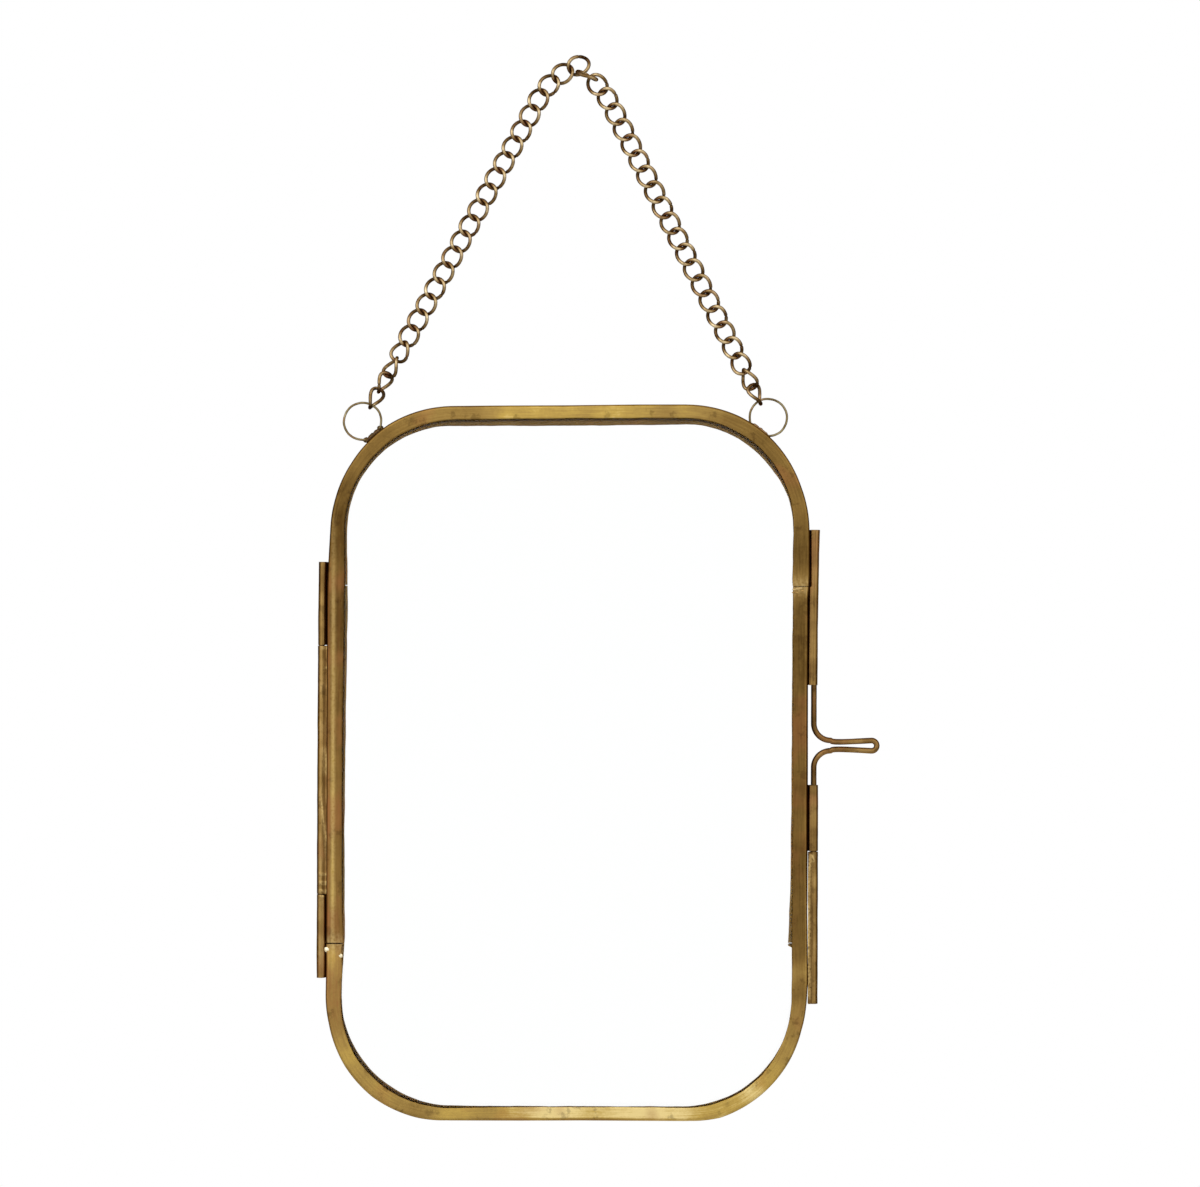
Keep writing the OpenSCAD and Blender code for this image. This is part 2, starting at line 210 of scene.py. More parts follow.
class Shading:
    """Short ways to add nodes to a tree. A node's inputs, by name or number, take plain values or
    other nodes' outputs."""

    def __init__(self, tree):
        self.tree = tree

    def feed(self, node, inputs):
        """Fills a node's inputs."""
        for socket, value in dict(inputs).items():
            if isinstance(value, bpy.types.NodeSocket):
                self.tree.links.new(value, node.inputs[socket])
            else:
                node.inputs[socket].default_value = value

    def add(self, kind, inputs=(), **settings):
        """A new node with its settings and its inputs filled."""
        node = self.tree.nodes.new(kind)
        for key, value in settings.items():
            setattr(node, key, value)
        self.feed(node, inputs)
        return node

    def sums(self, operation, *values):
        """The result of a sum on one to three values."""
        return self.add("ShaderNodeMath", enumerate(values), operation=operation).outputs[0]

    def spread(self, value, low, high, to_low=0, to_high=1, easing="SMOOTHSTEP"):
        """The value brought from one range to another, and held at its ends."""
        ranges = enumerate((value, low, high, to_low, to_high))
        return self.add("ShaderNodeMapRange", ranges, interpolation_type=easing).outputs["Result"]


def new_finish(name):
    """A new material, its surface and the short ways to add to it."""
    material = bpy.data.materials.new(name)
    material.use_nodes = True
    tree = material.node_tree
    return material, tree.nodes["Principled BSDF"], Shading(tree)


BRASS_SHEEN = (203, 168, 126)
RELIEF_DEPTH = 0.06 * mm
GRIME_AND_SHADE_DULLS = 0.7
# Copper patches and grime stains: how strong they get, their size against the blotches, and the
# levels of their cloud at which they start and are full
PATCH_MOST = 0.35
PATCH_SIZE = 1.6
PATCH_LEVELS = (0.52, 0.68)
STAIN_MOST = 0.35
STAIN_SIZE = 0.55
STAIN_LEVELS = (0.57, 0.66)


def aged_brass(name, colours, streak=(9, 0.5), streak_most=0.2, blotch=9, blotch_most=0.18, speck=0.7,
               speck_most=0.07, copper=(150, 96, 58), grime=(52, 30, 12), tin=(214, 186, 128), rough=0.33,
               bump=0.3):
    """Brass whose colour follows a tone from dark to bright, by a list that gives the darkest and the
    brightest first. The tone is the piece's own mark plus streaks along it, blotches and specks.
    Copper-red patches, the grime mark and tin-pale solder are laid over that; the mark is dirt and dark
    joints, and also painted shade in recesses and between parts. It is dull and fills the relief. Lengths
    are in millimetres."""
    material, surface, shading = new_finish(name)
    sums = shading.sums

    def mark(mark_name):
        """The piece's own mark of that name."""
        return shading.add("ShaderNodeAttribute", attribute_name=mark_name).outputs["Fac"]

    def cloud(coordinates, size, detail=3.0, roughness=0.55, shift=0.0):
        """Soft noise whose clouds are a size across: one for every way, or one for each."""
        sizes = size if isinstance(size, tuple) else (size,) * 3
        scale = [1 / (length * mm) for length in (*sizes, 1)[:3]]
        mapping = {"Vector": coordinates, "Location": (shift,) * 3, "Scale": scale}
        placed = shading.add("ShaderNodeMapping", mapping).outputs["Vector"]
        noise = {"Vector": placed, "Scale": 1, "Detail": detail, "Roughness": roughness}
        return shading.add("ShaderNodeTexNoise", noise).outputs["Fac"]

    def over(below, colour, amount):
        """A plain colour laid over what lies below, by an amount."""
        layers = {0: amount, 6: below, 7: paint(*colour)}
        return shading.add("ShaderNodeMix", layers, data_type="RGBA").outputs[2]

    places = shading.add("ShaderNodeTexCoord").outputs["Object"]
    streaks = cloud(shading.add("ShaderNodeUVMap", uv_map="run").outputs["UV"], streak, 4)
    blotches = cloud(places, blotch)
    specks = cloud(places, speck, 2)
    tone = mark("tone")
    for clouds, most in ((streaks, streak_most), (blotches, blotch_most), (specks, speck_most)):
        tone = sums("MULTIPLY_ADD", sums("SUBTRACT", clouds, 0.5), 2 * most, tone)
    ramp = shading.add("ShaderNodeValToRGB", {"Fac": tone})
    stops = ramp.color_ramp.elements
    for k, (stop, colour) in enumerate(colours):
        element = stops[k] if k < 2 else stops.new(stop)
        element.position = stop
        element.color = paint(*colour)
    patches = shading.spread(cloud(places, PATCH_SIZE * blotch, 2, shift=3.7), *PATCH_LEVELS)
    stains = shading.spread(cloud(places, STAIN_SIZE * blotch, 4, 0.65, shift=8.1), *STAIN_LEVELS)
    colour = over(ramp.outputs["Color"], copper, sums("MULTIPLY_ADD", patches, PATCH_MOST, mark("copper")))
    colour = over(colour, grime, sums("MULTIPLY", stains, STAIN_MOST))
    colour = over(colour, tin, sums("MULTIPLY", mark("solder"), shading.spread(specks, 0.2, 0.6)))
    # Grime, and painted shade in recesses and between parts
    colour = over(colour, grime, mark("grime"))
    roughness = sums("MULTIPLY_ADD", blotches, 0.16, rough - 0.08)
    height = sums("MULTIPLY_ADD", specks, 0.3, sums("MULTIPLY", stains, -0.4))
    relief = shading.add("ShaderNodeBump", {
        "Strength": shading.spread(mark("grime"), 0, 0.5, bump, 0, "LINEAR"),
        "Distance": RELIEF_DEPTH,
        "Height": sums("MULTIPLY_ADD", streaks, 0.6, height),
    })
    shading.feed(surface, {
        "Base Color": colour,
        "Metallic": 1,
        "Specular Tint": paint(*BRASS_SHEEN),
        "Roughness": sums("MULTIPLY_ADD", mark("grime"), GRIME_AND_SHADE_DULLS, roughness),
        "Normal": relief.outputs["Normal"],
    })
    return material


RAIL_COLOURS = [
    (0, (84, 61, 26)), (1, (232, 208, 142)), (0.12, (104, 79, 38)), (0.35, (131, 102, 52)),
    (0.6, (160, 130, 70)), (0.8, (189, 158, 80)),
]
rail_brass = aged_brass("rail_brass", RAIL_COLOURS)


def leaf_edge(along):
    """Points and inward normals of a leaf's outside edge, seen from its face, at lengths along it
    clockwise from the middle of the top: straights joined by quarter circles."""
    half_top = top_run / 2
    runs = [half_top, corner_run, side_run, corner_run, top_run, corner_run, side_run, corner_run, half_top]
    left = np.asarray(along) % leaf_round
    point = np.zeros((*left.shape, 2)) + [0, leaf_h / 2]
    heading, course = np.zeros(left.shape), 0.0
    for k, run in enumerate(runs):
        part = np.clip(left, 0, run)
        if k % 2:
            turn = part / CORNER_R
            arc = [np.sin(course) - np.sin(course - turn), np.cos(course - turn) - np.cos(course)]
            point += CORNER_R * np.stack(arc, -1)
            heading -= turn
            course -= np.pi / 2
        else:
            point += part[..., None] * [np.cos(course), np.sin(course)]
        left = left - part
    return point, np.stack([np.sin(heading), -np.cos(heading)], -1)


def by_place(along, table):
    """Values between listed places along the edge, both in millimetres, joined by straights."""
    at, value = np.array(table, float).T
    return np.interp(np.asarray(along) / mm, at, value, period=leaf_round / mm)


# How far the front leaf's outside edge lies inside the true outline
FRONT_EDGE = [
    (0, 0.28), (20, 0), (35, -0.05), (50, -0.4), (62, -0.4), (78, 0.05), (92, -0.1), (104, -0.12),
    (107, 0.08), (110, 0.34), (116, 0.3), (140, 0.42), (190, 0.42), (205, 0.25), (222, 0.1), (229, 0.4),
    (236, 0.45), (246, 0.02), (258, -0.35), (272, -0.7), (281, 0), (283, 0.02), (295, 0.06), (312, 0.12),
    (330, 0.02), (351.5, 0.02), (360, -0.55), (374, -1), (386, -0.75), (399, -0.1), (408, -0.05),
    (416, 0.08), (500, 0.06), (522, 0.1), (529, 0.22), (536, 0.58), (543, 0.97), (552, 1.22), (564, 1.25),
    (573, 1), (580, 0.7), (596, 0.62), (612, 0.42),
]
# The same for the back leaf, by place as seen from the front
BACK_EDGE = [
    (0, 0.4), (25, 0.2), (80, 0.12), (100, 0), (215, 0), (235, 0.2), (340, 0.2), (352, 0.05), (522, 0.06),
    (529, 0.25), (536, 0.65), (543, 1.07), (552, 1.32), (564, 1.35), (573, 1.1), (580, 0.8), (596, 0.72),
    (612, 0.5),
]
# Where the edges that grip the glass stop, from the true outline: of the face, and of the inner side
FACE_REACH = [
    (0, 4.1), (30, 3.95), (60, 3.95), (72, 4.05), (84, 4.35), (95, 4.75), (105, 4.9),
    (108, 4.65), (140, 4.6), (205, 4.7), (218, 4.75), (232, 4.8), (246, 4.3), (262, 3.75), (280, 3.9),
    (292, 4.15), (330, 4.1), (352, 3.75), (372, 3.45), (388, 3.5), (404, 4.3), (414, 4.75), (421, 4.6),
    (423, 5.1), (432, 4.75), (452, 4.6), (480, 4.6), (505, 4.9), (530, 5.1), (548, 5.1), (566, 5.25),
    (584, 5.1), (604, 4.5),
]
INNER_REACH = [
    (0, 4.55), (30, 4.45), (50, 4.5), (66, 4.6), (80, 4.35), (95, 4.4), (140, 4.55), (200, 4.4),
    (240, 4.2), (265, 3.9), (355, 3.9), (380, 4.0), (405, 4.35), (430, 4.85), (470, 4.85), (510, 5.2),
    (535, 5.3), (566, 5.4), (590, 5.3), (612, 4.9),
]
# The same for the back leaf's two sides, by place as seen from the front
BACK_NEAR_REACH = [
    (0, 6.1), (25, 5.8), (45, 5.4), (60, 5.35), (70, 5.1), (80, 4.45), (95, 4.45), (130, 4.7), (170, 4.85),
    (195, 5.05), (206, 5.5), (211.6, 5.75), (212, 4.6), (240, 4.2), (262, 3.9), (290, 3.8), (335, 3.8),
    (352, 3.9), (376, 4.15), (396, 4.2), (410, 4.45), (424, 5.3), (455, 5.1), (490, 5.45), (520, 5.9),
    (540, 5.65), (560, 5.8), (585, 6.1), (600, 6.25),
]
BACK_FAR_LESS = 0.3 * mm
# Tone of the front leaf's face, from dark to bright, and of the back leaf. The front face's tone is partly
# its own and partly a painted reflection: its top and bottom runs are painted bright and its sides dark, as
# brushed brass catches light from above and below.
FACE_TONE_AND_REFLECTION = [
    (0, 0.76), (22, 0.74), (29, 0.62), (35, 0.66), (42, 0.48), (50, 0.36), (80, 0.31), (92, 0.2),
    (100, 0.12), (105, 0.28), (110, 0.2), (114, 0.12), (205, 0.15), (214, 0.2), (219, 0.5), (226, 0.3),
    (232, 0.48), (242, 0.6), (252, 0.7), (262, 0.86), (270, 0.8), (280, 0.9), (290, 0.98), (324, 0.97),
    (333, 0.85), (340, 0.7), (346, 0.72), (354, 0.64), (361, 0.52), (370, 0.64), (380, 0.64), (390, 0.68),
    (400, 0.54), (412, 0.48), (420, 0.6), (424, 0.34), (432, 0.24), (480, 0.21), (503, 0.12), (528, 0.02),
    (545, 0.05), (558, 0.1), (572, 0.28), (582, 0.36), (594, 0.46), (606, 0.56), (615, 0.73),
]
BACK_TONE = [
    (0, 0.34), (50, 0.34), (75, 0.5), (110, 0.4), (200, 0.45), (250, 0.5), (316, 0.6), (350, 0.4),
    (380, 0.4), (430, 0.5), (520, 0.45), (575, 0.34), (600, 0.32),
]


def bell(x, centre, width):
    """A smooth hump of height one about a centre."""
    return np.exp(-(((x - centre) / width) ** 2))


def sheet_profile():
    """The channel's sheet seen on its cut end, as paired outer and inner points: depth in from the
    outside edge, height across the leaf, share of the way along a side, and which side."""
    lines = []
    for skin_depth in (0, SHEET_T):
        bend_r = BEND_R - skin_depth
        lip = np.array([[RAIL_W, 0.3], [RAIL_W - LIP_ROUND / 2, 0.08]])
        lip_height = leaf_t / 2 - (lip[:, 1] if skin_depth == 0 else 1 - lip[:, 1]) * SHEET_T
        flat = np.linspace(RAIL_W - LIP_ROUND, BEND_R, 10)
        turn = np.linspace(np.pi / 2, np.pi, 7)[1:]
        side_depth = np.concatenate([lip[:, 0], flat, BEND_R + bend_r * np.cos(turn)])
        side_height = np.concatenate([lip_height, flat * 0 + leaf_t / 2 - skin_depth,
                                      leaf_t / 2 - BEND_R + bend_r * np.sin(turn)])
        web = np.linspace(leaf_t / 2 - BEND_R, BEND_R - leaf_t / 2, 6)[1:-1]
        depth = np.concatenate([side_depth, web * 0 + skin_depth, side_depth[::-1]])
        height = np.concatenate([side_height, web, -side_height[::-1]])
        lines.append(np.stack([depth, height], -1))
    line = np.concatenate([lines[0], lines[1][::-1]])
    share = np.clip((line[:, 0] - BEND_R) / (RAIL_W - BEND_R), 0, 1)
    outer = np.arange(len(line)) < len(lines[0])
    return line[:, 0], line[:, 1], share, line[:, 1] > 0, outer


# The front face's sides along the outline: where each starts and stops, and the length of both eases
LEFT_SIDE = (408 * mm, 550 * mm, 24 * mm, 28 * mm)
RIGHT_SIDE = (86 * mm, 226 * mm, 10 * mm, 10 * mm)
BOTTOM_AT = 312 * mm
BOTTOM_HALF = 26 * mm
# Bands along the front face: their side, strength, depth in from the outline and half width. On the left,
# the tone band at 1.95 mm and the solder band with it paint a pale highlight strip. On the right, the tone
# band paints a highlight line on the bend. The two negative tone bands darken the left and the bottom
# bends.
FACE_BANDS = {
    "tone": [("left", 0.42, 1.95, 0.62), ("left", -0.06, 0.5, 0.4), ("right", 0.16, 0.72, 0.25),
             ("bottom", -0.5, 0.55, 0.32)],
    "solder": [("left", 0.3, 1.95, 0.55)],
    "streaked": [("left", 0.5, 0.6, 0.45), ("left", 0.22, 3.6, 0.5), ("right", 0.066, 3.6, 0.5)],
    "copper": [("bottom", 0.2, 0.55, 0.3)],
}
RED_CORNER_AT = 408 * mm
RED_CORNER_HALF = 13 * mm
# Dents pressed in the front face at its joints: place along the outline, half length and depth
JOINT_DENTS = [(420.5 * mm, 3 * mm, 0.2 * mm), (high_joint + 1 * mm, 2.5 * mm, 0.12 * mm)]
OUTLINE_SWAY = 0.04 * mm
LIP_RAGGED = 0.05 * mm
LIP_NICKS = 0.012 * mm
FACE_SET_BACK = 0.02 * mm
DENT_DEPTH = 0.06 * mm
RIPPLE_DEPTH = 0.02 * mm
SOLDER_SPREAD = 2.2 * mm


def on_side(along, start, stop, start_ease, stop_ease):
    """A share of one along a side of the leaf, easing to nothing at both ends."""
    return np.clip((along - start) / start_ease, 0, 1) * np.clip((stop - along) / stop_ease, 0, 1)


def face_marks(along, inset, seed):
    """What the front face adds to its marks at lengths along the outline and insets from it: each band is
    its side's share times a hump across the face, and some bands are painted highlights. Copper is
    streaked, and reddest at the lower left corner."""
    sides = {"left": on_side(along, *LEFT_SIDE), "right": on_side(along, *RIGHT_SIDE),
             "bottom": bell(along, BOTTOM_AT, BOTTOM_HALF)}
    added = {
        mark: sum(most * sides[side] * bell(inset, at * mm, half * mm) for side, most, at, half in bands)
        for mark, bands in FACE_BANDS.items()
    }
    streaks = 0.6 + 0.4 * wander(along + 40 * inset, 37 * mm, seed)
    reddened = added.pop("streaked") + 0.45 * bell(along, RED_CORNER_AT, RED_CORNER_HALF)
    added["copper"] = added["copper"] + streaks * reddened
    return added


def channel_piece(name, first, last, layer, seed):
    """A channel from one joint to the other: the sheet's profile carried along the outline. The
    outside edge, the reach of both sides, their dents and their ragged lips vary with the place."""
    along = np.linspace(first, last, int((last - first) / STATION))[:, None]
    seen = along if layer < 0 else leaf_round - along
    depth, height, share, faces_out, outer = sheet_profile()
    if layer < 0:
        shift = by_place(seen, FRONT_EDGE) * mm
        reach = np.where(faces_out, by_place(seen, FACE_REACH), by_place(seen, INNER_REACH)) * mm
    else:
        shift = by_place(seen, BACK_EDGE) * mm + OUTLINE_SWAY * wander(along, 160 * mm, seed)
        reach = by_place(seen, BACK_NEAR_REACH) * mm - np.where(faces_out, BACK_FAR_LESS, 0)
    reach = reach + LIP_RAGGED * wander(along, 19 * mm, seed + 1)
    reach = reach + LIP_NICKS * wander(along, 8 * mm, seed + 2)
    inset = depth + share * (reach - shift - RAIL_W) + shift
    dented = (0.5 + 0.5 * wander(along + 0.5 * inset, 26 * mm, seed + 3)).clip(0)
    rippled = 0.5 + 0.5 * wander(along, 12 * mm, seed + 4)
    press = FACE_SET_BACK + share * (DENT_DEPTH * dented + RIPPLE_DEPTH * rippled)
    if layer < 0:
        press = press + sum(deep * bell(along, at, half) for at, half, deep in JOINT_DENTS)
    pressed = height - np.sign(height) * press * np.clip(4 * np.abs(height) / leaf_t - 1, 0, 1)
    edge, inward = leaf_edge(along[:, 0])
    flat = edge[:, None] + inset[..., None] * inward[:, None]
    grid = leaf_middle[layer] + np.stack([-layer * flat[..., 0], layer * pressed, flat[..., 1]], -1)

    in_sight = outer & (faces_out | (np.abs(height) < leaf_t / 2 - 0.1 * mm))
    near_joint = bell(np.minimum(along - first, last - along), 0, SOLDER_SPREAD)
    plain_tone = by_place(seen, FACE_TONE_AND_REFLECTION if layer < 0 else BACK_TONE)
    marks = {
        "tone": plain_tone + 0.05 * wander(along, 30 * mm, seed + 5),
        "solder": 0.5 * near_joint * in_sight * (0.6 + 0.4 * wander(along + 3 * inset, 5 * mm, seed)),
        "copper": 0.0,
    }
    if layer < 0:
        marks = {mark: marks[mark] + added for mark, added in face_marks(along, inset, seed + 6).items()}
        marks["tone"] = np.where(in_sight, marks["tone"], 0.3)
    marks["solder"] = np.clip(marks["solder"], 0, 1)
    lip = bell(inset, reach, 0.16 * mm)
    # Darker along the face's lip; the inner sides and the inside of the channel are painted darker as the
    # shade in the channel
    marks["grime"] = np.where(outer, np.where(faces_out, 0.25 * lip, 0.3 if layer < 0 else 0.2), 0.5)
    around = np.append(0, np.cumsum(np.hypot(np.diff(depth), np.diff(height))))
    around = np.append(around, around[-1] + SHEET_T)
    skin = shell(grid, ends="wall", along=along[:, 0], around=around, **marks)
    return build(name, [skin], rail_brass)


JOINT_OPEN = 0.1 * mm
LOW_JOINT_OPEN = 0.3 * mm
for leaf, layer, seed in (("front", -1, 11), ("back", 1, 47)):
    spans = {
        "upper": (low_joint + LOW_JOINT_OPEN, leaf_round + high_joint - JOINT_OPEN, seed),
        "lower": (high_joint + JOINT_OPEN, low_joint - JOINT_OPEN, seed + 10),
    }
    for end, (first, last, own_seed) in spans.items():
        rail = channel_piece(f"{leaf}_{end}_rail", first, last, layer, own_seed)
        place(rail, f"{leaf}_leaf", f"{leaf}_channel_{end}", "channel_brass")

# The two panes
# Clear sheet glass, 2 mm thick, cut to the channel's outline and ground dull along its edge. A gap
# is left between its edge and the bottom of the channel.
GLASS_T = 2 * mm
GLASS_GAP = 0.35 * mm
GROUND = 0.12 * mm
PANE_STATIONS = 320
LEAST_INSET = 0.3
GLASS_WAVES = 14
GLASS_DULL = 0.02


def clear_glass():
    """Clear glass of a faint green, polished and very slightly wavy."""
    material, surface, shading = new_finish("clear_glass")
    places = shading.add("ShaderNodeTexCoord").outputs["Object"]
    waves = shading.add("ShaderNodeTexNoise", {"Vector": places, "Scale": GLASS_WAVES}).outputs["Fac"]
    shading.feed(surface, {
        "Transmission Weight": 1,
        "IOR": 1.5,
        "Specular IOR Level": 0.2,
        "Specular Tint": (0.3, 0.29, 0.27, 1),
        "Base Color": (0.998, 1, 0.999, 1),
        "Roughness": shading.sums("MULTIPLY", waves, GLASS_DULL),
    })
    return material


glass = clear_glass()


def pane(name, layer):
    """A slab whose outline keeps one gap inside the channel: four rings, the middle two full size
    and the end two drawn in by the ground edge."""
    along = np.linspace(0, leaf_round, PANE_STATIONS, endpoint=False)
    edge, inward = leaf_edge(along)
    seen = along if layer < 0 else leaf_round - along
    shift = np.maximum(by_place(seen, FRONT_EDGE), LEAST_INSET) * mm
    ground = GROUND / GLASS_T
    rings = []
    for inset, height in ((GROUND, 0.5), (0, 0.5 - ground), (0, ground - 0.5), (GROUND, -0.5)):
        flat = edge + (SHEET_T + GLASS_GAP + inset + shift)[:, None] * inward
        ring = np.stack([-layer * flat[:, 0], 0 * along + layer * height * GLASS_T, flat[:, 1]], -1)
        rings.append(leaf_middle[layer] + ring)
    return build(name, [shell(np.array(rings), ends="flat")], glass, 30)


for leaf, layer in (("front", -1), ("back", 1)):
    place(pane(f"{leaf}_pane", layer), f"{leaf}_leaf", f"{leaf}_glass", "clear_glass")

# Hinge and latch tubes
# Each is a strip of brass rolled shut round a rod, with its seam left open as a fine line. Solder
# run in from one side holds it to the edge of its leaf: rough and pale, thick in places and gone
# in others.
TUBE_R = 1.35 * mm
BORE_R = 0.93 * mm
RIM = 0.07 * mm
WALL_MID_R = 1.14 * mm
SIDE_GAP = 0.3 * mm
BURR = 0.1 * mm
SEAM_DEPTH = 0.14 * mm
TUBE_DENTS = 0.03 * mm
OUT_OF_REACH = 9 * mm
# How far from its axis solder fills the slot between a back leaf's tube and the front leaf: at the
# hinge, and at the guides above and below the high joint
HINGE_FILL_R = 1.62 * mm
GUIDE_FILL_R = 1.5 * mm
GUIDE_FOOT_FILL_R = 1.85 * mm
TUBE_COLS = 96
TUBE_STATION = 0.3 * mm
BORE_ROWS = 14
TUBE_COLOURS = [
    (0, (70, 46, 20)), (1, (222, 192, 132)), (0.2, (104, 78, 40)), (0.45, (140, 111, 62)),
    (0.7, (170, 140, 88)),
]
# By side: how red the brass is beside the solder, and how pale the raised solder
TUBE_RED = {-1: 0.5, 1: 0.18}
TUBE_PALE = {-1: 0.6, 1: 0.85}
tube_brass = aged_brass("tube_brass", TUBE_COLOURS, streak=(16, 0.3), blotch=8, blotch_most=0.1,
                        speck_most=0.05, copper=(150, 98, 66), tin=(198, 170, 112), rough=0.3)


def raised_marks(share, turn, runs):
    """Solder that stands up on a tube, as runs: each goes from one share of the length to another and
    from one turn to another, in degrees, with a height in millimetres and a half width in radians."""
    raised = 0 * share * turn
    for start, stop, turn_start, turn_stop, height, half in runs:
        part = np.clip((share - start) / (stop - start), 0, 1)
        fade = np.clip(6 * part, 0, 1) * np.clip(6 * (1 - part), 0, 1)
        at = np.radians(turn_start + (turn_stop - turn_start) * part)
        raised = np.maximum(raised, height * mm * fade * bell(turn, at, half))
    return raised


def fillet(turn, signed, leg):
    """The solder's rise over a tube's circle: up to the line that slants from the tube's front down
    to the side of its channel, at the height leg, and no further than the channel's edge."""
    to_side = TUBE_R + SIDE_GAP
    down = np.sin(turn) - (leg - WALL_MID_R) / to_side * np.cos(turn)
    to_line = np.where(down > 0.1, WALL_MID_R / np.maximum(down, 0.1), OUT_OF_REACH)
    to_edge = np.where(np.cos(turn) > 0.2, to_side / np.maximum(np.cos(turn), 0.2), OUT_OF_REACH)
    rise = (np.minimum(to_line, to_edge) - TUBE_R).clip(0)
    return rise * np.clip((signed + 0.14) * 20, 0, 1) * (signed < 1.6)


def rolled_tube(node, side, layer, tone, seam, leg, runs, lean, seed):
    """A tube on its axis beside the leaf, as a wall: rows run up the outside and down the bore, and
    columns go round from the leaf. The outside is the tube's circle less the seam's groove, plus the
    fillet, the slot's filling and the raised runs. lean moves the outside's foot and head towards
    the right, and the bore stays straight."""
    low, high = corners(node)
    low[2] -= BURR
    high[2] += BURR
    axis_x = low[0] + TUBE_R if side < 0 else high[0] - TUBE_R
    axis_y = low[1] + TUBE_R if layer > 0 else high[1] - TUBE_R
    length = high[2] - low[2]
    outside = np.linspace(RIM, length - RIM, int(length / TUBE_STATION))
    bore = np.linspace(length - RIM, RIM, BORE_ROWS)

    def each_row(on_outside, on_rim, in_bore):
        """One value a row: up the outside, over the rim, down the bore and over the other rim."""
        return np.concatenate([0 * outside + on_outside, on_rim, 0 * bore + in_bore, on_rim[::-1]])[:, None]

    z = np.concatenate([outside, [length, length], bore, [0, 0]])[:, None]
    base_r = each_row(TUBE_R, [TUBE_R - RIM, BORE_R + RIM], BORE_R)
    skin = each_row(1, [0, 0], 0)
    follows = each_row(1, [0.65, 0], 0)
    turn = np.arange(TUBE_COLS)[None] * 2 * np.pi / TUBE_COLS
    signed = (turn + np.pi) % (2 * np.pi) - np.pi
    share = z / length
    leaning = (lean[0] + (lean[1] - lean[0]) * share ** 2) * mm
    solder = fillet(turn, signed, leg * mm * (1 + 0.05 * wander(z, 30 * mm, seed)))
    if layer > 0:
        above_joint = low[2] + z > front_high[2] - HIGH_JOINT_DROP
        guide_fill = np.where(above_joint, GUIDE_FILL_R + leaning, GUIDE_FOOT_FILL_R)
        filled = (HINGE_FILL_R - leaning if side < 0 else guide_fill) - TUBE_R
        solder = np.maximum(solder, filled * np.clip((signed + 1.3) / 0.5, 0, 1) * (signed <= 0.1))
    raised = raised_marks(share, turn, runs) * (1 + 0.3 * wander(z + 3 * mm * turn, 1.6 * mm, seed + 2))
    opened = 1 + 1.4 * bell(share, 0, 0.16)
    from_seam = (turn - np.radians(seam) + np.pi) % (2 * np.pi) - np.pi
    groove = opened * bell(from_seam, 0, 0.07 * opened)
    dents = TUBE_DENTS * (wander(z, 21 * mm, seed + 3) - 1.6)
    radius = base_r + skin * (solder + raised * (np.cos(turn) > -0.5) - SEAM_DEPTH * groove + dents)
    grid = np.stack([axis_x + follows * leaning - side * radius * np.cos(turn),
                     axis_y + layer * radius * np.sin(turn), low[2] + z + 0 * turn], -1)
    tinned = skin * np.clip(raised / (0.06 * mm), 0, 1)
    from_leaf = np.minimum(turn, 2 * np.pi - turn)
    shade_by_leaf = 0.2 * bell(from_leaf, 0.1, 0.3) * (1 - tinned)
    # Painted highlight: the side of the tube that faces out from its leaf is lighter. Painted shade: it is
    # darker where it meets its leaf and down its bore. The seam's groove is a dark line.
    return shell(
        grid, rows_close=True, along=np.append(z[:, 0], z[0, 0]),
        around=np.linspace(0, 2 * np.pi * TUBE_R, TUBE_COLS + 1),
        tone=tone + 0.1 * wander(z, 18 * mm, seed + 4) + 0.12 * bell(turn, 1.7, 0.5),
        grime=np.clip(skin * (shade_by_leaf + 0.8 * groove) + (1 - skin) * 0.7, 0, 0.9),
        solder=TUBE_PALE[side] * tinned,
        copper=TUBE_RED[side] * skin * bell(from_leaf, 0.3, 0.6) * (1 - tinned),
    )


# node, body, side, layer, tone, turn of the seam, height of the fillet, raised runs, lean, seed
TUBES = [
    ("hinge_knuckle_upper", "back_leaf", -1, 1, 0.38, 200, 2.1, [], (0.22, 0.4), 101),
    ("front_hinge_knuckle", "front_leaf", -1, -1, 0.4, 215, 2.2, [
        (0.1, 0.40, 34, 92, 0.1, 0.16), (0.47, 0.6, 62, 66, 0.06, 0.25), (0.67, 0.73, 26, 30, 0.12, 0.25),
        (0.072, 0.088, 75, 75, 0.07, 1.0), (0.035, 0.055, 70, 75, 0.09, 0.9),
        (0.004, 0.02, 80, 80, 0.08, 1.0), (0.985, 0.998, 60, 60, 0.05, 0.8),
        (0.905, 0.92, 52, 52, 0.09, 0.3),
    ], (0.04, 0.2), 111),
    ("hinge_knuckle_lower", "back_leaf", -1, 1, 0.5, 190, 2.1, [
        (0.96, 0.995, 300, 300, 0.08, 0.7),
    ], (0, 0.04), 121),
    ("latch_guide_upper", "back_leaf", 1, 1, 0.36, 215, 2.1, [], (-0.24, 0.34), 131),
    ("latch_guide_lower", "back_leaf", 1, 1, 0.34, 205, 2.1, [], (0, 0), 141),
    ("latch_keeper_tube", "front_leaf", 1, -1, 0.3, 28, 2.2, [
        (0.02, 0.3, 60, 55, 0.12, 0.15), (0.24, 0.5, 54, 58, 0.14, 0.15), (0.45, 0.72, 58, 52, 0.13, 0.16),
        (0.7, 0.97, 54, 60, 0.14, 0.16), (0.93, 0.99, 80, 70, 0.08, 0.3),
    ], (0, 0), 151),
]
for node, body, *tube_sizes in TUBES:
    tube = build(f"{node}_rolled", [rolled_tube(node, *tube_sizes)], tube_brass)
    place(tube, body, node, "tube_brass")

